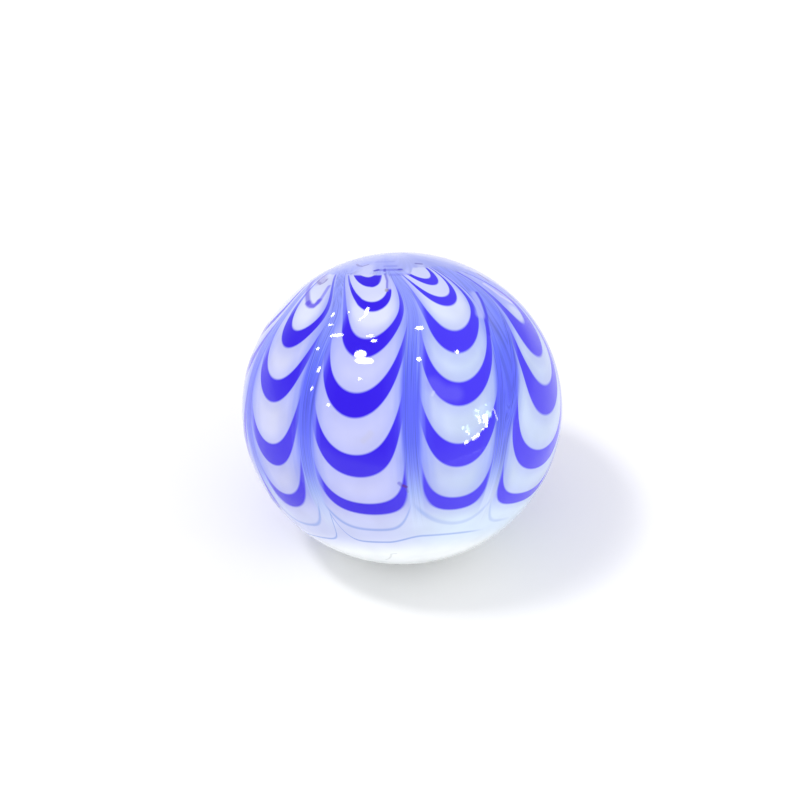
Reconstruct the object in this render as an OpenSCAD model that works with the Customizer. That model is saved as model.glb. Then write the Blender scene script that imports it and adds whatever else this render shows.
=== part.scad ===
// Glass marble: one solid ball of opal glass, a little flatter from top to bottom than it is wide.
// The blue scallops are coloured glass combed into its skin, so they add no shape of their own.
// The origin is the middle of the ball, and +Z is the short way through it.

/* [Ball] */
// Widest diameter, across the waist
waist_d = 25; // [16:0.5:40]
// Height from the underside to the crown
height = 24; // [14:0.5:40]

/* [Finish] */
// Facets around the waist in the preview
smoothness = 120; // [48:4:200]

/* [Hidden] */
$fn = smoothness;
// Share of its width that the ball keeps in height
flattening = height / waist_d;

// Half of the ball's upright section: a circle pressed to the height, right of the axis
module half_section() {
    intersection() {
        scale([1, flattening])
            circle(d = waist_d);
        translate([0, -height / 2])
            square([waist_d / 2, height]);
    }
}

// The fused ball: its half section turned once around the upright axis
module marble() {
    color([0.56, 0.60, 0.95])
        rotate_extrude()
            half_section();
}

marble();
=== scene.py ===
import math

import bmesh
import bpy
from mathutils import Matrix, Vector, noise


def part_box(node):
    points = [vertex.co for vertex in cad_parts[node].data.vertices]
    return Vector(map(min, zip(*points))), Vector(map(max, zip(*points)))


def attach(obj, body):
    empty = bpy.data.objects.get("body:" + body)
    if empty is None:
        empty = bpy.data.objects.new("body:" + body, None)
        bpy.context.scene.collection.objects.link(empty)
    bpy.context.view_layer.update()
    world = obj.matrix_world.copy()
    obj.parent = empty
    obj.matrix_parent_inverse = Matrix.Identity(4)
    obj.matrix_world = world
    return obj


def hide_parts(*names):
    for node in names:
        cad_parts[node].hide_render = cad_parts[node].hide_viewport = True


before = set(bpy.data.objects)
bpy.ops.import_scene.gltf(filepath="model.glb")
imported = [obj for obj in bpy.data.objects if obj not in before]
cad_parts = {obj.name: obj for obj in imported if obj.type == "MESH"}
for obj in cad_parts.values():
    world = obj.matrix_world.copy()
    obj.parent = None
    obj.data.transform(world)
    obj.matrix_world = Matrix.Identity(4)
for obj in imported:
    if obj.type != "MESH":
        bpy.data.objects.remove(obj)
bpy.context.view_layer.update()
low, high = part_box("marble")
ballRadii = (high - low) / 2
print("frame loaded, ball radii in mm:", [round(r * 1000, 2) for r in ballRadii])


# small helpers for node trees

def feed(tree, socket, value):
    # a link where the value comes from another node, else the plain number
    if isinstance(value, bpy.types.NodeSocket):
        tree.links.new(value, socket)
    else:
        socket.default_value = value


def calc(tree, operation, *values):
    node = tree.nodes.new("ShaderNodeMath")
    node.operation = operation
    for socket, value in zip(node.inputs, values):
        feed(tree, socket, value)
    return node.outputs[0]


def times(tree, product, *factors):
    for factor in factors:
        product = calc(tree, "MULTIPLY", product, factor)
    return product


def onePlus(tree, value, weight):
    return calc(tree, "MULTIPLY_ADD", value, weight, 1.0)


def sineOf(tree, degrees):
    return calc(tree, "SINE", calc(tree, "RADIANS", degrees))


def ease(tree, value, start, end, atStart=0.0, atEnd=1.0):
    # smooth change from atStart to atEnd while value goes from start to end
    node = tree.nodes.new("ShaderNodeMapRange")
    node.interpolation_type = "SMOOTHSTEP"
    names = ("Value", "From Min", "From Max", "To Min", "To Max")
    for name, item in zip(names, (value, start, end, atStart, atEnd)):
        feed(tree, node.inputs[name], item)
    return node.outputs["Result"]


def between(tree, value, begins, full, fades, gone):
    # one from full to fades, and nothing before begins or past gone
    return times(tree, ease(tree, value, begins, full), ease(tree, value, gone, fades))


def mixColour(tree, factor, first, second):
    node = tree.nodes.new("ShaderNodeMix")
    node.data_type = "RGBA"
    feed(tree, node.inputs[0], factor)
    feed(tree, node.inputs[6], first)
    feed(tree, node.inputs[7], second)
    return node.outputs[2]


def joinVector(tree, x, y, z):
    node = tree.nodes.new("ShaderNodeCombineXYZ")
    for socket, value in zip(node.inputs, (x, y, z)):
        feed(tree, socket, value)
    return node.outputs[0]


def vectorCalc(tree, operation, first, second):
    node = tree.nodes.new("ShaderNodeVectorMath")
    node.operation = operation
    feed(tree, node.inputs[0], first)
    feed(tree, node.inputs[3 if operation == "SCALE" else 1], second)
    return node.outputs["Value" if operation in ("DOT_PRODUCT", "LENGTH") else "Vector"]


def grain(tree, vector, scale, detail=2.0):
    node = tree.nodes.new("ShaderNodeTexNoise")
    feed(tree, node.inputs["Vector"], vector)
    node.inputs["Scale"].default_value = scale
    node.inputs["Detail"].default_value = detail
    return node.outputs[0]


def tint(tree, colour, amount):
    # a colour made lighter or darker by a plain factor
    return vectorCalc(tree, "SCALE", colour, amount)


def ramp(tree, value, stops):
    # colours at given values, blended between them
    first, last = stops[0][0], stops[-1][0]
    node = tree.nodes.new("ShaderNodeValToRGB")
    span = calc(tree, "DIVIDE", calc(tree, "SUBTRACT", value, first), last - first)
    tree.links.new(span, node.inputs[0])
    points = node.color_ramp.elements
    while len(points) < len(stops):
        points.new(0.5)
    for point, (at, colour) in zip(points, stops):
        point.position = (at - first) / (last - first)
        point.color = colour
    return node.outputs[0]


def newGroup(name, inputs, outputs):
    tree = bpy.data.node_groups.new(name, "ShaderNodeTree")
    for label, value in inputs.items():
        kind = "NodeSocketVector" if isinstance(value, tuple) else "NodeSocketFloat"
        tree.interface.new_socket(label, in_out="INPUT", socket_type=kind).default_value = value
    for label, kind in outputs.items():
        tree.interface.new_socket(label, in_out="OUTPUT", socket_type="NodeSocket" + kind)
    return tree, tree.nodes.new("NodeGroupInput").outputs, tree.nodes.new("NodeGroupOutput").inputs


def place(tree, group, **values):
    node = tree.nodes.new("ShaderNodeGroup")
    node.node_tree = group
    for name, value in values.items():
        feed(tree, node.inputs[name], value)
    return node.outputs


def shade(red, green, blue):
    # a colour picked on the 0 to 255 scale, as the linear colour that a shader takes
    def linear(c):
        c = c / 255
        return c / 12.92 if c <= 0.04045 else ((c + 0.055) / 1.055) ** 2.4
    return (linear(red), linear(green), linear(blue), 1.0)


# the combed pattern: level threads of blue glass, dragged upward along ten strokes

comb = {
    "tiltBack": 33.0,     # degrees the comb's axis leans away from straight up
    "tiltSide": 1.5,
    "drag": 14.5,         # how far the glass is dragged, in degrees of latitude
    "dragNearTop": 9.0,   # and the extra near the top, where the strokes close up
    "dragFull": 2.0,      # latitude from which the drag is at its full
    "nearTop": (40.0, 62.0),  # latitudes over which that extra comes in
    "tip": 0.4,           # thickness of the tool's point, degrees
    "driftPer": 30.0,     # degrees up for one measure of drift and bend
    "hookFrom": 35.0,     # latitude where the strokes begin to turn aside
    "hookPer": 25.0,      # degrees up for one measure of that
    "wakeGrows": (10.0, 52.0),  # latitudes over which a wake broadens
    "wakeRightGrows": (-10.0, 18.0),
    # each stroke: longitude at the waist, drift, bend, how it turns aside near the top,
    # the latitude where the tool goes in, how broad its wake grows toward the top, and how much
    # broader that is on the right
    "strokes": [
        (-34.5, 2.0, 1.5, -20.0, -60.0, 0.0, 0.0),
        (3.0, 0.0, 2.0, -13.0, -50.0, 0.0, 0.0),
        (36.5, 3.2, 1.6, -12.0, -50.0, 2.0, 4.2),
        (83.0, 2.0, -4.0, -10.0, -50.0, 1.0, 1.0),
        (119.0, 0.0, 0.0, 5.0, -50.0, 1.0, 0.0),
        (155.0, 1.0, 1.0, 10.0, -55.0, 1.0, 2.0),
        (-170.0, 0.0, 1.0, 10.0, -50.0, 1.0, 0.0),
        (-137.0, -1.0, 0.0, 0.0, -50.0, 0.5, 1.5),
        (-105.0, 1.0, 1.0, -8.0, -55.0, 0.0, 0.0),
        (-69.0, -1.0, 4.0, -18.0, -50.0, 0.0, 0.0),
    ],
    # each thread: latitude before combing, width, tilt, wave, how much wider it gets to the right,
    # and how far it drops beyond the right-hand stroke
    "threads": [
        (29.2, 6.6, -2.0, 3.3, 0.14, 2.0),
        (11.3, 8.4, -1.4, 4.0, 0.0, 0.5),
        (-12.2, 9.2, 4.0, 0.3, 0.0, 0.0),
        (-31.7, 5.4, 4.6, -0.6, 0.0, -0.5),
    ],
    # the two short ones near the top: latitude, width, tilt, wave and how much thinner to the right
    "topThreads": [
        (57.5, 7.8, 0.0, -0.3, 0.31),
        (44.5, 4.8, -1.0, 2.5, 0.0),
    ],
    "waveTurn": 25.0,      # how far round the ball the waves begin, degrees
    "topThreadEnd": 61.0,  # latitude where the crown cuts the short threads off
    "endSoft": 0.8,        # degrees either way over which they fade there
    "endOnRight": 4.5,     # how much further they reach on the right
    # the short threads by longitude: where they come in, fade to a trace, and are gone
    "topThreadColumns": [(-45.0, -40.0), (50.0, 36.0, 0.1, 1.0), (100.0, 85.0)],
    "backFrom": [(-73.0, -86.0), (100.0, 115.0)],  # longitudes where the back begins, left and right
    "openAtBack": 20.0,    # how far the columns there are opened toward the crown
    "openFrom": (26.0, 56.0),  # latitudes over which they open
    "tintReach": 5.5,      # how far beside a thread the milk is tinted
    # changes, as ease takes them: from, to, and the value at either
    "edge": (0.5, 1.5, 0.55, 1.45),      # by pull, a thread's edge is softer where it is stretched
    "topThin": (0.5, 1.3, 1.0, 0.35),    # by pull, the short threads are thinner there
    "topThinner": (-2.0, 8.0),           # by longitude, and thinner to the right
    "spentAbove": (51.6, 53.0, 0.0, 0.85),  # by latitude
    "leftArmWorn": (9.0, 17.0, 0.0, 0.75),  # by drag
    "cooler": (-0.25, 0.45),  # how far to the right the glass turns cooler, as a share of the radius
}

# where the glass differs round the ball, by longitude: begins, is full, fades, is gone
stretches = {
    "beyondRightStroke": (38.0, 56.0, 95.0, 125.0),
    "reachFurther": (8.0, 13.0, 38.0, 48.0),
    "spentThread": (-12.5, -9.5, 0.0, 4.0),
    "secondColumn": (-34.0, -24.0, -6.0, 2.0),
    "slimStroke": (20.0, 28.0, 42.0, 52.0),
}

# two hair-thin threads near the foot, which run level, rise a little to the right, and are caught by
# strokes: longitude, height, and how far that reaches to the left and to the right
looseThreads = [
    {
        "latitude": -41.8,
        "rise": 0.0,
        "ends": 62.0,
        "width": 1.0,
        "strength": 0.6,
        "strengthRight": 0.3,
        "caught": [(-69.0, 14.0, 4.0, 4.0), (-34.5, 18.0, 3.5, 4.5), (3.0, 14.0, 2.9, 9.0),
                   (36.5, 12.0, 5.0, 3.0)]
        + [(stroke, 12.0, 4.0, 4.0) for stroke in (83.0, 119.0, 155.0, -170.0, -137.0, -105.0)],
    },
    {
        "latitude": -49.0,
        "rise": 3.6,
        "ends": 44.0,
        "width": 0.9,
        "strength": 0.75,
        "strengthRight": 0.6,
        "caught": [(-32.0, 15.0, 2.6, 2.6)],
    },
]

# colours run from the middle of an arch to the stroke, where the glass is stretched thin
glassColours = {
    "milkLeft": [(0.0, shade(206, 208, 230)), (0.35, shade(186, 190, 230)), (0.8, shade(158, 166, 230)),
                 (1.3, shade(135, 146, 232))],
    "milkRight": [(0.0, shade(190, 204, 230)), (0.35, shade(175, 190, 230)), (0.8, shade(148, 163, 230)),
                  (1.3, shade(130, 144, 232))],
    "blueLeft": [(2.0, shade(44, 8, 218)), (11.0, shade(54, 30, 221)), (17.0, shade(80, 74, 223)),
                 (26.0, shade(102, 106, 228))],
    "blueRight": [(2.0, shade(66, 50, 228)), (10.0, shade(70, 62, 229)), (17.0, shade(78, 74, 226)),
                  (26.0, shade(86, 86, 227))],
    # the middle of a stroke, by latitude
    "core": [(-38.0, shade(205, 218, 238)), (-30.0, shade(180, 194, 234)), (-24.0, shade(150, 168, 230)),
             (-16.0, shade(113, 127, 228)), (-6.0, shade(92, 104, 228)), (10.0, shade(88, 96, 229)),
             (22.0, shade(94, 108, 230)), (34.0, shade(122, 134, 232)), (60.0, shade(140, 150, 233))],
    "milkHigh": shade(220, 224, 238),
    "milkBetweenArms": shade(190, 196, 238),
    "milkDull": shade(176, 180, 236),
    "milkLowLeft": shade(197, 203, 237),
    "milkLowRight": shade(206, 221, 237),
    "besideThread": shade(150, 158, 228),
    "looseThread": shade(112, 144, 220),
    "levelLine": shade(92, 90, 214),
    "wornBlue": shade(121, 130, 235),
    "base": shade(242, 247, 247),
    "crown": [(0.0, shade(178, 184, 238)), (0.4, shade(162, 170, 238)), (1.1, shade(148, 158, 236))],
    "shoulder": [(0.0, shade(180, 186, 238)), (0.5, shade(162, 170, 237)), (1.1, shade(142, 152, 235))],
}


def buildStroke():
    # one stroke of the tool: how hard it drags each point, and which side of it the point is on
    inputs = {"Latitude": 0.0, "Longitude": 0.0, "Line": 0.0, "Drift": 0.0, "Bend": 0.0, "Hook": 0.0,
              "Start": -50.0, "Wake": 0.0, "WakeRight": 0.0}
    outputs = {"Pull": "Float", "Drag": "Float", "Chord": "Float", "Side": "Float"}
    tree, source, out = newGroup("combStroke", inputs, outputs)
    latitude = source["Latitude"]
    step = calc(tree, "DIVIDE", latitude, comb["driftPer"])
    above = calc(tree, "SUBTRACT", latitude, comb["hookFrom"])
    above = calc(tree, "MAXIMUM", calc(tree, "DIVIDE", above, comb["hookPer"]), 0.0)
    line = calc(tree, "MULTIPLY_ADD", step, source["Drift"], source["Line"])
    line = calc(tree, "MULTIPLY_ADD", times(tree, step, step), source["Bend"], line)
    line = calc(tree, "MULTIPLY_ADD", times(tree, above, above), source["Hook"], line)
    offset = calc(tree, "SUBTRACT", source["Longitude"], line)
    chord = calc(tree, "ABSOLUTE", times(tree, sineOf(tree, times(tree, offset, 0.5)), 2.0))
    side = sineOf(tree, offset)
    feed(tree, out["Side"], calc(tree, "DIVIDE", side, calc(tree, "MULTIPLY_ADD", chord, chord, 0.001)))
    wake = times(tree, ease(tree, latitude, *comb["wakeGrows"]), calc(tree, "RADIANS", source["Wake"]))
    onRight = times(tree, ease(tree, side, 0.0, 0.05), ease(tree, latitude, *comb["wakeRightGrows"]))
    wake = calc(tree, "MULTIPLY_ADD", onRight, calc(tree, "RADIANS", source["WakeRight"]), wake)
    chord = calc(tree, "MAXIMUM", calc(tree, "SUBTRACT", chord, wake), 0.0)
    tip = math.radians(comb["tip"]) ** 2
    spread = calc(tree, "SQRT", calc(tree, "MULTIPLY_ADD", chord, chord, tip))
    pull = times(tree, calc(tree, "LOGARITHM", spread, math.e), -1.0)
    reach = ease(tree, latitude, source["Start"], comb["dragFull"], 0.0, comb["drag"])
    reach = calc(tree, "ADD", reach, ease(tree, latitude, *comb["nearTop"], 0.0, comb["dragNearTop"]))
    share = calc(tree, "ADD", pull, math.log(2) / len(comb["strokes"]))
    feed(tree, out["Pull"], pull)
    feed(tree, out["Drag"], times(tree, share, reach))
    feed(tree, out["Chord"], chord)
    return tree


def buildThread():
    # one thread, as the mask of the glass that lay on its line before combing
    inputs = {"Level": 0.0, "Longitude": 0.0, "Middle": 0.0, "Width": 5.0, "Tilt": 0.0, "Wave": 0.0,
              "Edge": 0.5}
    tree, source, out = newGroup("blueThread", inputs, {"Mask": "Float", "Beside": "Float"})
    turn = calc(tree, "RADIANS", source["Longitude"])
    middle = calc(tree, "MULTIPLY_ADD", calc(tree, "SINE", turn), source["Tilt"], source["Middle"])
    twice = calc(tree, "SUBTRACT", times(tree, turn, 2.0), math.radians(comb["waveTurn"]))
    middle = calc(tree, "MULTIPLY_ADD", calc(tree, "SINE", twice), source["Wave"], middle)
    away = calc(tree, "ABSOLUTE", calc(tree, "SUBTRACT", source["Level"], middle))
    inside = calc(tree, "SUBTRACT", times(tree, source["Width"], 0.5), away)
    feed(tree, out["Mask"], ease(tree, inside, times(tree, source["Edge"], -1.0), source["Edge"]))
    feed(tree, out["Beside"], ease(tree, inside, -comb["tintReach"], -0.5))
    return tree


def buildPlace():
    # where a point lies on the ball, seen along the comb's own axis
    tree, _, out = newGroup(
        "placeOnBall", {}, {"Latitude": "Float", "Longitude": "Float", "Around": "Float", "Ball": "Vector"}
    )
    coords = tree.nodes.new("ShaderNodeTexCoord")
    mapping = tree.nodes.new("ShaderNodeMapping")
    mapping.inputs["Scale"].default_value = [1 / r for r in ballRadii]
    tilt = (math.radians(comb["tiltBack"]), math.radians(comb["tiltSide"]), 0)
    mapping.inputs["Rotation"].default_value = tilt
    unit = tree.nodes.new("ShaderNodeVectorMath")
    unit.operation = "NORMALIZE"
    split = tree.nodes.new("ShaderNodeSeparateXYZ")
    tree.links.new(coords.outputs["Object"], mapping.inputs["Vector"])
    tree.links.new(mapping.outputs["Vector"], unit.inputs[0])
    tree.links.new(unit.outputs[0], split.inputs[0])
    x, y, z = split.outputs
    flat = calc(tree, "MAXIMUM", calc(tree, "SUBTRACT", 1.0, times(tree, z, z)), 0.0)
    turn = calc(tree, "ARCTAN2", x, times(tree, y, -1.0))
    feed(tree, out["Latitude"], calc(tree, "DEGREES", calc(tree, "ARCSINE", z)))
    feed(tree, out["Longitude"], calc(tree, "DEGREES", turn))
    feed(tree, out["Around"], calc(tree, "SQRT", flat))
    feed(tree, out["Ball"], unit.outputs[0])
    return tree


def buildCombing():
    # how hard each point was dragged, and how far it lies from the nearest stroke
    tree, source, out = newGroup(
        "combing",
        {"Latitude": 0.0, "Longitude": 0.0, "Around": 1.0},
        {"Pull": "Float", "Drag": "Float", "Gap": "Float", "LeftArm": "Float"},
    )
    stroke = buildStroke()
    latitude, longitude = source["Latitude"], source["Longitude"]
    total, dragged, side, nearest = math.log(2), 0.0, 0.0, 9.0
    for line, drift, bend, hook, start, wake, wakeRight in comb["strokes"]:
        one = place(tree, stroke, Latitude=latitude, Longitude=longitude, Line=line, Drift=drift, Bend=bend,
                    Hook=hook, Start=start, Wake=wake, WakeRight=wakeRight)
        total = calc(tree, "ADD", one["Pull"], total)
        dragged = calc(tree, "ADD", one["Drag"], dragged)
        side = calc(tree, "ADD", one["Side"], side)
        nearest = calc(tree, "MINIMUM", one["Chord"], nearest)
    feed(tree, out["Pull"], total)
    feed(tree, out["Drag"], dragged)
    feed(tree, out["LeftArm"], ease(tree, side, 0.0, 5.0))
    feed(tree, out["Gap"], calc(tree, "DEGREES", times(tree, nearest, source["Around"])))
    return tree


# small faults of this one ball: short lines through places given as latitude and longitude, with the
# width in degrees and how strongly the colour covers what is under it
faults = {
    "palePatchLeft": {"through": [(63.5, -26.0), (66.5, -28.0)], "width": 3.0, "strength": 0.65,
                      "colour": shade(204, 208, 240)},
    "palePatchRight": {"through": [(65.0, 20.0), (68.0, 21.0)], "width": 1.5, "strength": 0.4,
                       "colour": shade(200, 205, 240)},
    "violetSmudge": {"through": [(56.5, -58.5), (59.0, -64.5)], "width": 2.6, "strength": 0.55,
                     "colour": shade(122, 108, 196)},
    "violetArc": {"through": [(57.0, -64.0), (56.0, -61.0), (55.5, -57.5), (55.0, -55.5), (56.0, -54.0),
                              (57.0, -54.0), (58.0, -55.0)],
                  "width": 0.7, "strength": 0.6, "colour": shade(96, 80, 170)},
    "loopBottom": {"through": [(45.5, -51.5), (44.5, -49.0), (44.0, -47.0), (44.0, -45.0), (45.5, -44.0),
                               (46.5, -44.0)],
                   "width": 1.4, "strength": 0.9, "colour": shade(92, 76, 222)},
    "loopLeft": {"through": [(56.5, -72.0), (53.0, -65.5), (50.0, -59.5), (48.0, -55.5), (46.0, -52.0),
                             (45.0, -50.0)],
                 "width": 1.3, "strength": 0.75, "colour": shade(84, 66, 214)},
    "loopRight": {"through": [(45.5, -44.0), (47.0, -43.5), (50.0, -44.0), (54.0, -45.5)], "width": 1.0,
                  "strength": 0.65, "colour": shade(96, 86, 228)},
    "milkStrip": {"through": [(47.5, 42.5), (45.0, 41.5), (41.0, 39.5), (38.5, 38.0)], "width": 2.2,
                  "strength": 0.75, "colour": shade(172, 180, 236)},
    "darkArm": {"through": [(48.5, 45.0), (45.0, 44.0), (41.5, 42.5), (38.0, 41.0), (35.5, 39.5),
                            (33.0, 38.5), (30.5, 37.5)],
                "width": 0.85, "strength": 0.85, "colour": shade(66, 58, 222)},
    "paleStreak": {"through": [(52.5, 59.0), (46.0, 62.5), (42.5, 67.5)], "width": 1.0, "strength": 0.6,
                   "colour": shade(216, 212, 242)},
    "hairOnFoot": {"through": [(-65.0, -16.5), (-64.0, -13.5), (-61.0, -10.5), (-58.5, -9.5),
                               (-58.0, -6.0)],
                   "width": 0.45, "strength": 0.3, "colour": shade(150, 156, 160)},
    "redSmear": {"through": [(-20.5, -1.5), (-21.5, -0.5)], "width": 0.8, "strength": 0.5,
                 "colour": shade(58, 16, 192)},
    "redSpeck": {"through": [(-21.5, 0.0), (-22.0, 1.0)], "width": 0.6, "strength": 0.8,
                 "colour": shade(84, 30, 120)},
    "redSpeckTail": {"through": [(-23.0, 1.0), (-24.0, 1.5)], "width": 0.5, "strength": 0.3,
                     "colour": shade(96, 92, 140)},
    "brownSpeck": {"through": [(51.5, -6.5), (52.0, -6.5)], "width": 0.8, "strength": 0.8,
                   "colour": shade(148, 140, 150)},
    "threadToCrown": {"through": [(53.0, -6.5), (57.0, -7.0), (61.5, -9.5)], "width": 0.5, "strength": 0.7,
                      "colour": shade(84, 76, 204)},
    "dotLeft": {"through": [(64.0, -18.5), (64.5, -16.5)], "width": 0.8, "strength": 0.85,
                "colour": shade(64, 52, 196)},
    "dotMiddle": {"through": [(65.0, -11.0), (63.5, -10.5)], "width": 0.6, "strength": 0.7,
                  "colour": shade(70, 60, 196)},
    "dotRight": {"through": [(64.5, 1.0), (64.5, 2.5)], "width": 0.75, "strength": 0.75,
                 "colour": shade(70, 62, 204)},
    "brownLine": {"through": [(58.5, 70.0), (56.5, 70.0), (54.5, 69.5)], "width": 1.3, "strength": 0.6,
                  "colour": shade(120, 108, 168)},
    "violetLine": {"through": [(49.5, 65.0), (46.5, 68.0), (44.0, 71.0), (42.0, 74.0)], "width": 0.8,
                   "strength": 0.4, "colour": shade(150, 112, 205)},
    "darkSpot": {"through": [(69.0, 18.0), (68.5, 22.5)], "width": 0.8, "strength": 0.7,
                 "colour": shade(80, 74, 170)},
    "greyRing": {"through": [(69.5, -46.0), (68.0, -40.0), (67.5, -34.5), (69.0, -30.5)], "width": 0.55,
                 "strength": 0.6, "colour": shade(112, 106, 176)},
    "paleWash": {"through": [(13.5, 11.0), (10.5, 14.5), (10.0, 18.5)], "width": 3.4, "strength": 0.3,
                 "colour": shade(122, 116, 232)},
    "leftSmudge": {"through": [(30.0, -79.0), (32.0, -82.0)], "width": 1.0, "strength": 0.35,
                   "colour": shade(120, 110, 170)},
    "stain": {"through": [(-2.5, -10.5), (-5.0, -13.0)], "width": 1.3, "strength": 0.12,
              "colour": shade(186, 180, 170)},
    "bubbles": {"through": [(10.0, 10.5), (11.0, 11.0)], "width": 0.6, "strength": 0.35,
                "colour": shade(214, 222, 240)},
}

# thin level lines across the strokes just under the crown: latitude, from and to longitude, strength
levelLines = [
    (64.4, -17.0, 2.0, 0.55),
    (67.4, -13.0, -1.0, 0.3),
    (60.9, -6.0, 9.0, 0.3),
    (71.5, -26.0, -4.0, 0.2),
]


def onBall(latitude, longitude):
    a, b = math.radians(latitude), math.radians(longitude)
    return (math.cos(a) * math.sin(b), -math.cos(a) * math.cos(b), math.sin(a))


def buildFault():
    # one straight piece of a fault
    inputs = {"Ball": (0.0, 0.0, 0.0), "Start": (0.0, 0.0, 0.0), "Span": (0.0, 0.0, 0.1), "Width": 0.01}
    tree, source, out = newGroup("fault", inputs, {"Mask": "Float"})
    offset = vectorCalc(tree, "SUBTRACT", source["Ball"], source["Start"])
    length = vectorCalc(tree, "DOT_PRODUCT", source["Span"], source["Span"])
    share = calc(tree, "DIVIDE", vectorCalc(tree, "DOT_PRODUCT", offset, source["Span"]), length)
    share = calc(tree, "MINIMUM", calc(tree, "MAXIMUM", share, 0.0), 1.0)
    rest = vectorCalc(tree, "SUBTRACT", offset, vectorCalc(tree, "SCALE", source["Span"], share))
    away = calc(tree, "DIVIDE", vectorCalc(tree, "LENGTH", rest, (0.0, 0.0, 0.0)), source["Width"])
    feed(tree, out["Mask"], ease(tree, away, 1.25, 0.3))  # a soft edge
    return tree


def drawMarks(tree, ball, colour):
    group = buildFault()
    for fault in faults.values():
        places = [Vector(onBall(*spot)) for spot in fault["through"]]
        width = math.radians(fault["width"])
        mask = 0.0
        for start, end in zip(places, places[1:]):
            one = place(tree, group, Ball=ball, Start=start, Span=end - start, Width=width)
            mask = calc(tree, "MAXIMUM", one["Mask"], mask)
        colour = mixColour(tree, times(tree, mask, fault["strength"]), colour, fault["colour"])
    return colour


def drawLevels(tree, latitude, longitude, colour):
    for level, start, end, strength in levelLines:
        away = calc(tree, "ABSOLUTE", calc(tree, "SUBTRACT", latitude, level))
        onLine = ease(tree, away, 1.2, 0.3)  # whole to 0.3 degrees from its middle, gone at 1.2
        begun = ease(tree, longitude, start - 2.0, start + 1.0)
        notOver = ease(tree, longitude, end + 2.0, end - 1.0, 0.0, strength)
        colour = mixColour(tree, times(tree, onLine, begun, notOver), colour, glassColours["levelLine"])
    return colour


# changes that both share, as ease takes them
looseLook = {
    "rises": (-9.0, 9.0),      # by longitude
    "thickens": (-44.0, -34.0, 1.0, 2.0),  # by latitude, twice as thick where it is lifted
    "lost": (-27.0, -34.0),    # by latitude, it is lost in the stroke above this
    "endsOver": 14.0,          # degrees over which it ends
    "softEdge": (1.0, 0.1),
}


def buildCaught():
    # how far a loose thread is lifted beside the stroke that caught it
    inputs = {"Longitude": 0.0, "At": 0.0, "Height": 10.0, "Left": 3.0, "Right": 3.0}
    tree, source, out = newGroup("caughtThread", inputs, {"Lift": "Float"})
    offset = calc(tree, "SUBTRACT", source["Longitude"], source["At"])
    beside = times(tree, sineOf(tree, times(tree, offset, 0.5)), 2 * math.degrees(1))
    toRight = calc(tree, "DIVIDE", calc(tree, "MAXIMUM", beside, 0.0), source["Right"])
    toLeft = calc(tree, "DIVIDE", calc(tree, "MINIMUM", beside, 0.0), source["Left"])
    lift = calc(tree, "POWER", math.e, calc(tree, "SUBTRACT", toLeft, toRight))
    feed(tree, out["Lift"], times(tree, lift, source["Height"]))
    return tree


def drawLooseThreads(tree, latitude, longitude, right, colour):
    group = buildCaught()
    for loose in looseThreads:
        lowest, highest = loose["latitude"], loose["latitude"] + loose["rise"]
        line = ease(tree, longitude, *looseLook["rises"], lowest, highest)
        for at, height, toLeft, toRight in loose["caught"]:
            one = place(tree, group, Longitude=longitude, At=at, Height=height, Left=toLeft, Right=toRight)
            line = calc(tree, "ADD", one["Lift"], line)
        away = calc(tree, "ABSOLUTE", calc(tree, "SUBTRACT", latitude, line))
        width = times(tree, ease(tree, latitude, *looseLook["thickens"]), loose["width"])
        mask = times(
            tree,
            ease(tree, calc(tree, "DIVIDE", away, width), *looseLook["softEdge"]),
            ease(tree, right, 0.0, 1.0, loose["strength"], loose["strengthRight"]),
            ease(tree, latitude, *looseLook["lost"]),
            ease(tree, longitude, loose["ends"], loose["ends"] - looseLook["endsOver"]),
        )
        colour = mixColour(tree, mask, colour, glassColours["looseThread"])
    return colour


# streaks run along the strokes, and clouds are soft lumps in the milk
streaks = {
    "length": 50.0,       # degrees of latitude
    # across: how many to a radius of the ball, how many more where the glass is pulled, and how rough
    "broad": (4.0, 5.0, 0.0),
    "fine": (34.0, 4.0, 1.0),
    "fineDepth": 0.9,
    "clouds": 5.0,        # how many to a radius
    "cloudDepth": 0.2,
    # how far the broad streaks shift each colour and edge
    "inMilk": 0.3,
    "inShoulder": 1.5,
    "inBlue": 4.0,
    "inCrown": 1.2,
    "atShoulder": 10.0,
    "atCrown": 1.5,
}


def buildStreaks():
    # each comes out as a small change up or down, about nought
    inputs = {"Latitude": 0.0, "Longitude": 0.0, "Pull": 0.0, "Ball": (0.0, 0.0, 0.0)}
    outputs = {"Broad": "Float", "Fine": "Float", "Cloud": "Float"}
    tree, source, out = newGroup("glassStreaks", inputs, outputs)
    turn = calc(tree, "RADIANS", source["Longitude"])
    sideways, toFront = calc(tree, "SINE", turn), calc(tree, "COSINE", turn)
    along = calc(tree, "DIVIDE", source["Latitude"], streaks["length"])
    for name in ("Broad", "Fine"):
        count, pulled, detail = streaks[name.lower()]
        across = calc(tree, "MULTIPLY_ADD", sideways, count, times(tree, source["Pull"], pulled))
        spot = joinVector(tree, across, times(tree, toFront, count), along)
        feed(tree, out[name], calc(tree, "SUBTRACT", grain(tree, spot, 1.0, detail), 0.5))
    feed(tree, out["Cloud"], calc(tree, "SUBTRACT", grain(tree, source["Ball"], streaks["clouds"]), 0.5))
    return tree


def combedLevel(tree, latitude, longitude, drag):
    # the latitude that the glass came from; the columns at the back stay open at the top
    left, right = comb["backFrom"]
    back = calc(tree, "ADD", ease(tree, longitude, *left), ease(tree, longitude, *right))
    opened = times(tree, back, ease(tree, latitude, *comb["openFrom"], 0.0, comb["openAtBack"]))
    return calc(tree, "ADD", calc(tree, "SUBTRACT", latitude, drag), opened)


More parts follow.
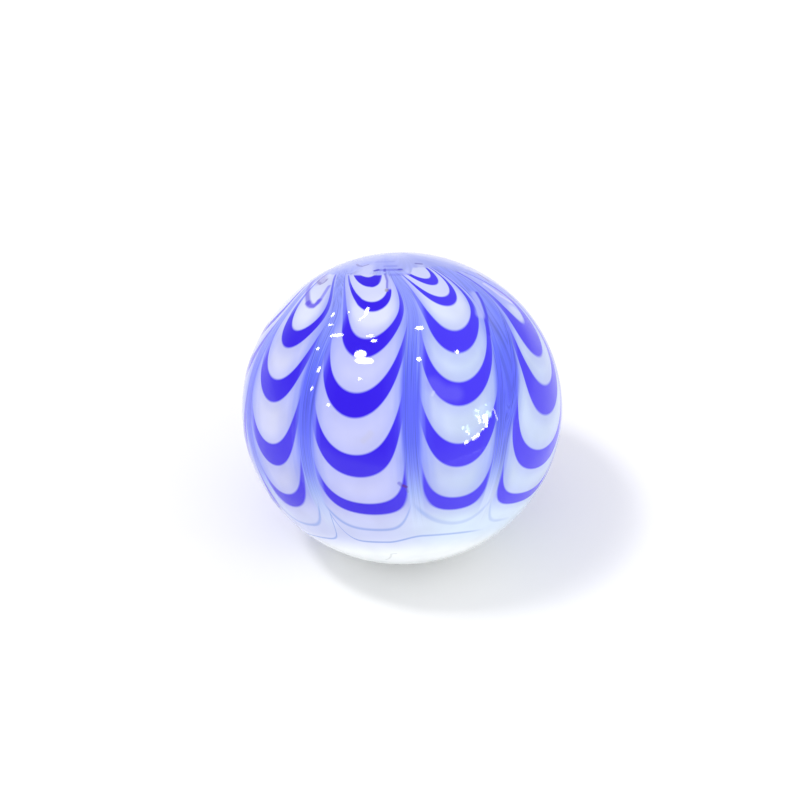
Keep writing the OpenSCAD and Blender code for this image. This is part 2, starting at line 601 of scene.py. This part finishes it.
def drawThreads(tree, thread, spot, right, beyond):
    # masks of the blue threads and of the tinted milk beside them
    blue, beside = 0.0, 0.0
    for middle, width, tilt, wave, widerRight, drop in comb["threads"]:
        width = calc(tree, "MULTIPLY_ADD", right, width * widerRight, width)
        middle = calc(tree, "MULTIPLY_ADD", beyond, -drop, middle)
        one = place(tree, thread, **spot, Middle=middle, Width=width, Tilt=tilt, Wave=wave)
        blue = calc(tree, "MAXIMUM", one["Mask"], blue)
        beside = calc(tree, "MAXIMUM", one["Beside"], beside)
    return blue, beside


def drawTopThreads(tree, thread, spot, latitude, pull, crownward):
    # the short threads near the top, thinner where the glass is stretched
    longitude = spot["Longitude"]
    thin = ease(tree, pull, *comb["topThin"])
    top = 0.0
    for middle, width, tilt, wave, thinner in comb["topThreads"]:
        width = ease(tree, longitude, *comb["topThinner"], width, width * (1 - thinner))
        width = times(tree, thin, width)
        one = place(tree, thread, **spot, Middle=middle, Width=width, Tilt=tilt, Wave=wave)
        top = calc(tree, "MAXIMUM", one["Mask"], top)
    # in the second column the right arm of the upper one is spent before it reaches the crown
    spent = between(tree, longitude, *stretches["spentThread"])
    spent = times(tree, spent, ease(tree, latitude, *comb["spentAbove"]))
    unspent = calc(tree, "SUBTRACT", 1.0, spent)
    end, soft = comb["topThreadEnd"], comb["endSoft"]
    # only the middle two columns have them, with a trace in the next one on the right
    kept = times(tree, *(ease(tree, longitude, *edge) for edge in comb["topThreadColumns"]))
    return times(tree, top, unspent, ease(tree, crownward, end + soft, end - soft), kept)


# tints of the milk: the changes are by latitude, as ease takes them, apart from those marked
milkTints = {
    "evens": (-12.0, -40.0),  # toward the foot the milk is more even
    "evened": -0.75,
    "betweenArms": (36.0, 50.0, 0.0, 0.5),
    "high": (30.0, 36.0, 0.0, 0.6),  # by the level that the glass came from
    "highUnpulled": (0.9, 0.1),      # by pull
    "besideThread": 0.3,
    "low": (-24.0, -40.0),
    "lowBesideThread": -0.5,  # less of it beside a thread
    "base": (-44.0, -60.0),
    "dull": 0.55,  # in the second column
    "dullBelow": (38.0, 28.0),
    "dullAbove": (-42.0, -26.0),
    "dullTop": (43.0, 52.0, 0.0, 0.35),
    "dullTopFrom": (-42.0, -32.0),   # by longitude
    "paleTop": (26.0, 38.0, 0.0, 0.45),
    "paleTopFrom": (-38.0, -46.0),   # by longitude, in the first column
}


def milkColour(tree, latitude, longitude, level, pull, right, streak, beside):
    # first from the middle of an arch to the stroke, then the places where the milk differs
    colours, tints = glassColours, milkTints
    even = onePlus(tree, ease(tree, latitude, *tints["evens"]), tints["evened"])
    pulled = times(tree, calc(tree, "MULTIPLY_ADD", streak, streaks["inMilk"], pull), even)
    left = ramp(tree, pulled, colours["milkLeft"])
    milk = mixColour(tree, right, left, ramp(tree, pulled, colours["milkRight"]))
    betweenArms = ease(tree, latitude, *tints["betweenArms"])
    high = times(tree, ease(tree, level, *tints["high"]), ease(tree, pull, *tints["highUnpulled"]))
    low = times(tree, ease(tree, latitude, *tints["low"]), onePlus(tree, beside, tints["lowBesideThread"]))
    lowMilk = mixColour(tree, right, colours["milkLowLeft"], colours["milkLowRight"])
    dull = times(
        tree,
        between(tree, longitude, *stretches["secondColumn"]),
        ease(tree, latitude, *tints["dullBelow"]),
        ease(tree, latitude, *tints["dullAbove"]),
        tints["dull"],
    )
    dullTop = ease(tree, latitude, *tints["dullTop"])
    dullTop = times(tree, dullTop, ease(tree, longitude, *tints["dullTopFrom"]))
    paleTop = ease(tree, latitude, *tints["paleTop"])
    paleTop = times(tree, paleTop, ease(tree, longitude, *tints["paleTopFrom"]))
    layers = (
        (betweenArms, colours["milkBetweenArms"]),
        (high, colours["milkHigh"]),
        (times(tree, beside, tints["besideThread"]), colours["besideThread"]),
        (low, lowMilk),
        (ease(tree, latitude, *tints["base"]), colours["base"]),
        (dull, colours["milkDull"]),
        (dullTop, colours["milkDull"]),
        (paleTop, colours["milkHigh"]),
    )
    for share, colour in layers:
        milk = mixColour(tree, share, milk, colour)
    return milk


# the drawn-out glass beyond the right-hand stroke: changes as ease takes them
shoulder = {
    "above": (36.0, 44.0),  # by latitude
    "ends": (92.0, 80.0),   # by longitude
    "fine": (0.6, 1.1),     # by pull, so that fine streaks come only where it is pulled
}


def shoulderColour(tree, pull, streak, fine):
    pulled = calc(tree, "MULTIPLY_ADD", streak, streaks["inShoulder"], pull)
    drawn = ramp(tree, pulled, glassColours["shoulder"])
    fine = times(tree, fine, ease(tree, pull, *shoulder["fine"]))
    return tint(tree, drawn, onePlus(tree, fine, streaks["fineDepth"]))


def shoulderMask(tree, latitude, longitude, streak, beyond):
    height = calc(tree, "MULTIPLY_ADD", streak, streaks["atShoulder"], latitude)
    above = ease(tree, height, *shoulder["above"])
    return times(tree, beyond, ease(tree, longitude, *shoulder["ends"]), above)


def blueColour(tree, drag, leftArm, right, streak):
    dragged = calc(tree, "MULTIPLY_ADD", streak, streaks["inBlue"], drag)
    left = ramp(tree, dragged, glassColours["blueLeft"])
    blue = mixColour(tree, right, left, ramp(tree, dragged, glassColours["blueRight"]))
    # the left arm of each arch wears out sooner than the right one
    worn = times(tree, leftArm, ease(tree, dragged, *comb["leftArmWorn"]))
    return mixColour(tree, worn, blue, glassColours["wornBlue"])


# the blue middle of a stroke: changes by latitude, as ease takes them, apart from those marked
strokeLook = {
    "shows": (-46.0, -26.0),
    "half": (-35.0, 8.0, 2.2, 3.3),     # half its width in degrees
    "narrows": (8.0, 45.0, 0.0, 1.3),   # and how much it loses toward the top
    "slimmer": (18.0, 38.0, 0.0, -1.0),  # the right-hand stroke is slimmer toward the top
    "softEdge": (1.3, 0.7),             # by share of that half
    "shift": (-30.0, 5.0, 4.0, 30.0),   # how far the broad streaks shift the colour up and down
    "lowerRight": (22.0, 34.0, 0.0, -5.0),  # by longitude, the colour comes from lower down
    "fine": (-34.0, -4.0, 0.35, 1.2),   # depth of the fine streaks
}


def strokeColour(tree, latitude, longitude, streak, fine):
    look = strokeLook
    shift = times(tree, streak, ease(tree, latitude, *look["shift"]))
    shift = calc(tree, "ADD", shift, ease(tree, longitude, *look["lowerRight"]))
    core = ramp(tree, calc(tree, "ADD", shift, latitude), glassColours["core"])
    return tint(tree, core, onePlus(tree, fine, ease(tree, latitude, *look["fine"])))


def strokeMask(tree, latitude, longitude, gap):
    # how far each point lies within the middle of a stroke
    look = strokeLook
    half = ease(tree, latitude, *look["half"])
    half = calc(tree, "SUBTRACT", half, ease(tree, latitude, *look["narrows"]))
    slimmer = between(tree, longitude, *stretches["slimStroke"])
    slimmer = times(tree, slimmer, ease(tree, latitude, *look["slimmer"]))
    half = calc(tree, "ADD", half, slimmer)
    within = ease(tree, calc(tree, "DIVIDE", gap, half), *look["softEdge"])
    return times(tree, within, ease(tree, latitude, *look["shows"]))


# the smooth cap at the top, which the strokes run into
crown = {
    "from": 60.4,         # latitudes over which it takes over from the threads
    "full": 62.0,
    "fadeAtBack": 12.0,   # degrees over which it fades in at the back
    "calm": (61.0, 67.0),  # latitudes over which the swirl settles
    "swirlLeft": 0.15,    # how much of the swirl is left then
    "settled": 0.35,      # the place in the crown's colours where it settles
    "back": (0.2, -0.4),  # where the front gives way to the back, as a share of the radius
    "darkerRight": 0.92,
}


def crownColour(tree, latitude, pull, right, streak, fine):
    # the swirl settles into a smooth cap
    calm = ease(tree, latitude, *crown["calm"], 1.0, crown["swirlLeft"])
    swirl = times(tree, calc(tree, "MULTIPLY_ADD", streak, streaks["inCrown"], pull), calm)
    settled = crown["settled"]
    swirl = calc(tree, "MULTIPLY_ADD", calm, -settled, calc(tree, "ADD", swirl, settled))
    cap = ramp(tree, swirl, glassColours["crown"])
    cap = mixColour(tree, right, cap, tint(tree, cap, crown["darkerRight"]))
    return tint(tree, cap, onePlus(tree, times(tree, fine, calm), streaks["fineDepth"]))


def crownMask(tree, toFront, streak, crownward):
    fadeFrom = ease(tree, toFront, *crown["back"], crown["from"], crown["full"] - crown["fadeAtBack"])
    height = calc(tree, "MULTIPLY_ADD", streak, streaks["atCrown"], crownward)
    return ease(tree, height, fadeFrom, crown["full"])


def buildPattern():
    tree, _, out = newGroup("combedPattern", {}, {"Color": "Color"})
    spot = place(tree, buildPlace())
    latitude, longitude = spot["Latitude"], spot["Longitude"]
    combing = place(tree, buildCombing(), Latitude=latitude, Longitude=longitude, Around=spot["Around"])
    pull, drag = combing["Pull"], combing["Drag"]
    grains = place(tree, buildStreaks(), Latitude=latitude, Longitude=longitude, Pull=pull,
                   Ball=spot["Ball"])
    streak, fine = grains["Broad"], grains["Fine"]
    right = ease(tree, sineOf(tree, longitude), *comb["cooler"])
    toFront = calc(tree, "COSINE", calc(tree, "RADIANS", longitude))
    level = combedLevel(tree, latitude, longitude, drag)

    thread = buildThread()
    edge = ease(tree, pull, *comb["edge"])
    threadSpot = {"Level": level, "Longitude": longitude, "Edge": edge}
    beyond = between(tree, longitude, *stretches["beyondRightStroke"])
    blue, beside = drawThreads(tree, thread, threadSpot, right, beyond)
    further = between(tree, longitude, *stretches["reachFurther"])
    crownward = calc(tree, "MULTIPLY_ADD", further, -comb["endOnRight"], latitude)
    top = drawTopThreads(tree, thread, threadSpot, latitude, pull, crownward)
    blue = calc(tree, "MAXIMUM", top, blue)

    milk = milkColour(tree, latitude, longitude, level, pull, right, streak, beside)
    milk = tint(tree, milk, onePlus(tree, grains["Cloud"], streaks["cloudDepth"]))
    onShoulder = shoulderMask(tree, latitude, longitude, streak, beyond)
    milk = mixColour(tree, onShoulder, milk, shoulderColour(tree, pull, streak, fine))

    deep = blueColour(tree, drag, combing["LeftArm"], right, streak)
    colour = mixColour(tree, blue, milk, deep)
    core = strokeColour(tree, latitude, longitude, streak, fine)
    colour = mixColour(tree, strokeMask(tree, latitude, longitude, combing["Gap"]), colour, core)
    cap = crownColour(tree, latitude, pull, right, streak, fine)
    colour = mixColour(tree, crownMask(tree, toFront, streak, crownward), colour, cap)
    colour = drawLooseThreads(tree, latitude, longitude, right, colour)
    colour = drawLevels(tree, latitude, longitude, colour)
    colour = drawMarks(tree, spot["Ball"], colour)
    feed(tree, out["Color"], colour)
    return tree


def combedGlass():
    material = bpy.data.materials.new("combed_glass")
    material.use_nodes = True
    tree = material.node_tree
    shader = tree.nodes["Principled BSDF"]
    shader.inputs["Roughness"].default_value = marble["roughness"]
    shader.inputs["IOR"].default_value = marble["refraction"]
    pattern = place(tree, buildPattern())
    tree.links.new(pattern["Color"], shader.inputs["Base Color"])
    return material


# the ball itself: six curved sheets of squares, so that no seam or pole shows

marble = {
    "name": "marble",
    "squares": 88,        # squares along each side of a sheet
    "unevenness": 0.003,  # how far the hand-turned surface lies inside a true ball, share of its radius
    "lumps": 1.3,         # how many to a radius
    "roughness": 0.04,
    "refraction": 1.5,
    "mapMargin": 0.004,   # bare edge round each sheet on the bake map
}


def addSheet(mesh, bakeMap, index, across, up, out):
    # one curved sheet: a square grid seen from the middle of the ball, pushed out to its skin
    count = marble["squares"]
    columns, rows = 3, 2  # how the sheets lie on the bake map
    margin = marble["mapMargin"]
    grid = {}
    for i in range(count + 1):
        for j in range(count + 1):
            u, v = (math.tan((k / count - 0.5) * math.pi / 2) for k in (i, j))
            unit = (out + across * u + up * v).normalized()
            dip = 0.5 + 0.5 * noise.noise(unit * marble["lumps"])
            scale = 1 - marble["unevenness"] * dip
            grid[i, j] = mesh.verts.new([c * r * scale for c, r in zip(unit, ballRadii)])
    for i in range(count):
        for j in range(count):
            corners = ((i, j), (i + 1, j), (i + 1, j + 1), (i, j + 1))
            face = mesh.faces.new([grid[c] for c in corners])
            face.smooth = True
            for loop, (a, b) in zip(face.loops, corners):
                loop[bakeMap].uv = (
                    (index % columns + margin + (1 - 2 * margin) * a / count) / columns,
                    (index // columns + margin + (1 - 2 * margin) * b / count) / rows,
                )


def buildMarble():
    mesh = bmesh.new()
    bakeMap = mesh.loops.layers.uv.new("OFBake")
    x, y, z = (Vector(axis) for axis in ((1, 0, 0), (0, 1, 0), (0, 0, 1)))
    for index, (across, up) in enumerate(((x, y), (y, x), (y, z), (z, y), (z, x), (x, z))):
        addSheet(mesh, bakeMap, index, across, up, across.cross(up))
    bmesh.ops.remove_doubles(mesh, verts=mesh.verts, dist=min(ballRadii) * 1e-5)
    bmesh.ops.recalc_face_normals(mesh, faces=mesh.faces)
    data = bpy.data.meshes.new(marble["name"])
    mesh.to_mesh(data)
    mesh.free()
    piece = bpy.data.objects.new(marble["name"] + "_glass", data)
    bpy.context.scene.collection.objects.link(piece)
    piece.data.materials.append(combedGlass())
    return piece


ball = buildMarble()
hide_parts("marble")
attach(ball, "root")
print("marble built,", len(ball.data.polygons), "faces")


# the studio: a pale floor, a soft sky, the lamps and the camera
studio = {
    "floorSize": 6.0,
    "floor": shade(247, 246, 244),
    "floorRoughness": 0.9,
    "sky": (0.92, 0.93, 0.98, 1.0),
    "skySeenInGlass": 0.42,  # the room looks darker in the glass than the light it gives
    "horizonSeenInGlass": 0.8,
    "skyline": (-0.02, 0.3),  # heights over which the horizon gives way to the sky
    "round": ("ceiling", "sparkle"),  # kinds of lamp with round ends
    "glassOnly": ("sparkle", "haze"),  # and those that light nothing but the glass
    "hazeColour": (0.6, 0.92, 1.0),
    "lampDistance": 0.6,
    "cameraRise": 38.0,
    "cameraDistance": 0.1477,
    "lens": 85.0,
    "aim": (-0.00015, 0.0, 0.00075),
}

# each lamp: azimuth and elevation of its two ends, width in degrees, brightness
lamps = {
    "ceiling": [  # the strong pair that casts the shadow
        (-83, 60, -74, 67, 5.5, 36.0),
        (-74, 59, -55, 68, 4.5, 36.0),
    ],
    "sparkle": [  # smaller lamps, seen in the glass only
        (-150, 54, -142, 58, 2.0, 40.0),
        (-143, 58, -132, 58, 1.5, 36.0),
        (-114, 44, -113, 53, 2.0, 40.0),
        (-132, 39, -136, 38, 1.5, 28.0),
        (-125, 40, -125, 43, 1.5, 30.0),
        (-138, 47, -138, 48, 1.0, 28.0),
        (-109, 68, -112, 72, 2.0, 36.0),
        (-99, 71, -98, 75, 2.0, 40.0),
        (-106, 36, -106, 38, 2.0, 30.0),
        (-87, 34, -90, 37, 2.0, 30.0),
        (-80, 24, -81, 27, 1.5, 28.0),
        (-53, 53, -50, 54, 2.0, 38.0),
        (-62, 26, -61, 28, 2.0, 30.0),
        (144, 77, 133, 73, 3.0, 40.0),
        (36, 74, 45, 73, 3.0, 40.0),
        (89, 57, 91, 55, 2.5, 30.0),
    ],
    "window": [  # panes of a low window on the right
        (64, 18, 62, 13, 4.0, 35.0),
        (63, 13, 61, 10, 2.0, 30.0),
        (59, 20, 58, 15, 1.5, 30.0),
        (59, 11, 58, 10, 1.5, 28.0),
        (49, 8, 55, 9, 2.5, 28.0),
        (43, 8, 46, 8, 2.5, 28.0),
        (46, 16, 48, 12, 1.0, 22.0),
        (72, 17, 71, 9, 1.0, 15.0),
    ],
    "haze": [  # the dimmer panes and the pale sky around them
        (57, 22, 58, 20, 1.5, 16.0),
        (59, 25, 61, 22, 1.5, 15.0),
        (66, 19, 68, 14, 2.5, 13.0),
        (68, 23, 69, 22, 1.0, 14.0),
        (44, 18, 46, 19, 1.5, 20.0),
        (48, 19, 48, 13, 2.0, 9.0),
        (56, 22, 72, 19, 6.0, 2.0),
        (44, 15, 52, 13, 6.0, 1.2),
    ],
}


def toward(azimuth, rise):
    # unit vector toward a place in the studio: azimuth from the camera's side, plus to the right
    a, e = math.radians(azimuth), math.radians(rise)
    return Vector((math.sin(a) * math.cos(e), -math.cos(a) * math.cos(e), math.sin(e)))


def addLamp(kind, index, azimuth, rise, azimuthEnd, riseEnd, width, brightness):
    distance = studio["lampDistance"]
    start, end = toward(azimuth, rise) * distance, toward(azimuthEnd, riseEnd) * distance
    light = bpy.data.lights.new(f"{kind}_{index}", "AREA")
    light.shape = "ELLIPSE" if kind in studio["round"] else "RECTANGLE"
    light.size = max((end - start).length, distance * math.radians(width))
    light.size_y = distance * math.radians(width)
    # the power that gives this brightness
    light.energy = brightness * math.pi * light.size * light.size_y * math.pi / 4
    if kind == "haze":
        light.color = studio["hazeColour"]
    lamp = bpy.data.objects.new(light.name, light)
    back = ((start + end) / 2).normalized()
    along = (end - start).normalized()
    along = (along - back * along.dot(back)).normalized()
    turn = Matrix((along, back.cross(along), back)).transposed()
    lamp.matrix_world = Matrix.Translation((start + end) / 2) @ turn.to_4x4()
    lamp.visible_diffuse = kind not in studio["glassOnly"]
    bpy.context.scene.collection.objects.link(lamp)


def buildFloor():
    half = studio["floorSize"] / 2
    corners = [(-half, -half, low.z), (half, -half, low.z), (half, half, low.z), (-half, half, low.z)]
    data = bpy.data.meshes.new("floor")
    data.from_pydata(corners, [], [(0, 1, 2, 3)])
    floor = bpy.data.objects.new("floor", data)
    bpy.context.scene.collection.objects.link(floor)
    paper = bpy.data.materials.new("floor_paper")
    paper.use_nodes = True
    shader = paper.node_tree.nodes["Principled BSDF"]
    shader.inputs["Base Color"].default_value = studio["floor"]
    shader.inputs["Roughness"].default_value = studio["floorRoughness"]
    data.materials.append(paper)


def buildSky():
    world = bpy.data.worlds.new("softRoom")
    world.use_nodes = True
    room = world.node_tree
    path = room.nodes.new("ShaderNodeLightPath")
    coords = room.nodes.new("ShaderNodeTexCoord")
    height = room.nodes.new("ShaderNodeSeparateXYZ")
    room.links.new(coords.outputs["Generated"], height.inputs[0])
    horizon, sky = studio["horizonSeenInGlass"], studio["skySeenInGlass"]
    darker = ease(room, height.outputs["Z"], *studio["skyline"], horizon, sky)
    background = room.nodes["Background"]
    feed(room, background.inputs["Color"], studio["sky"])
    strength = ease(room, path.outputs["Is Glossy Ray"], 0.0, 1.0, 1.0, darker)
    feed(room, background.inputs["Strength"], strength)
    bpy.context.scene.world = world


def buildStudio():
    buildFloor()
    buildSky()
    for kind, places in lamps.items():
        for index, lamp in enumerate(places):
            addLamp(kind, index, *lamp)
    bpy.context.scene.view_settings.view_transform = "Standard"


def buildCamera():
    data = bpy.data.cameras.new("camera")
    data.lens = studio["lens"]
    camera = bpy.data.objects.new("camera", data)
    camera.location = toward(0, studio["cameraRise"]) * studio["cameraDistance"]
    aim = Vector(studio["aim"]) - camera.location
    camera.rotation_euler = aim.to_track_quat("-Z", "Y").to_euler()
    bpy.context.scene.collection.objects.link(camera)
    bpy.context.scene.camera = camera


buildStudio()
buildCamera()
print("studio, lamps and camera in place")
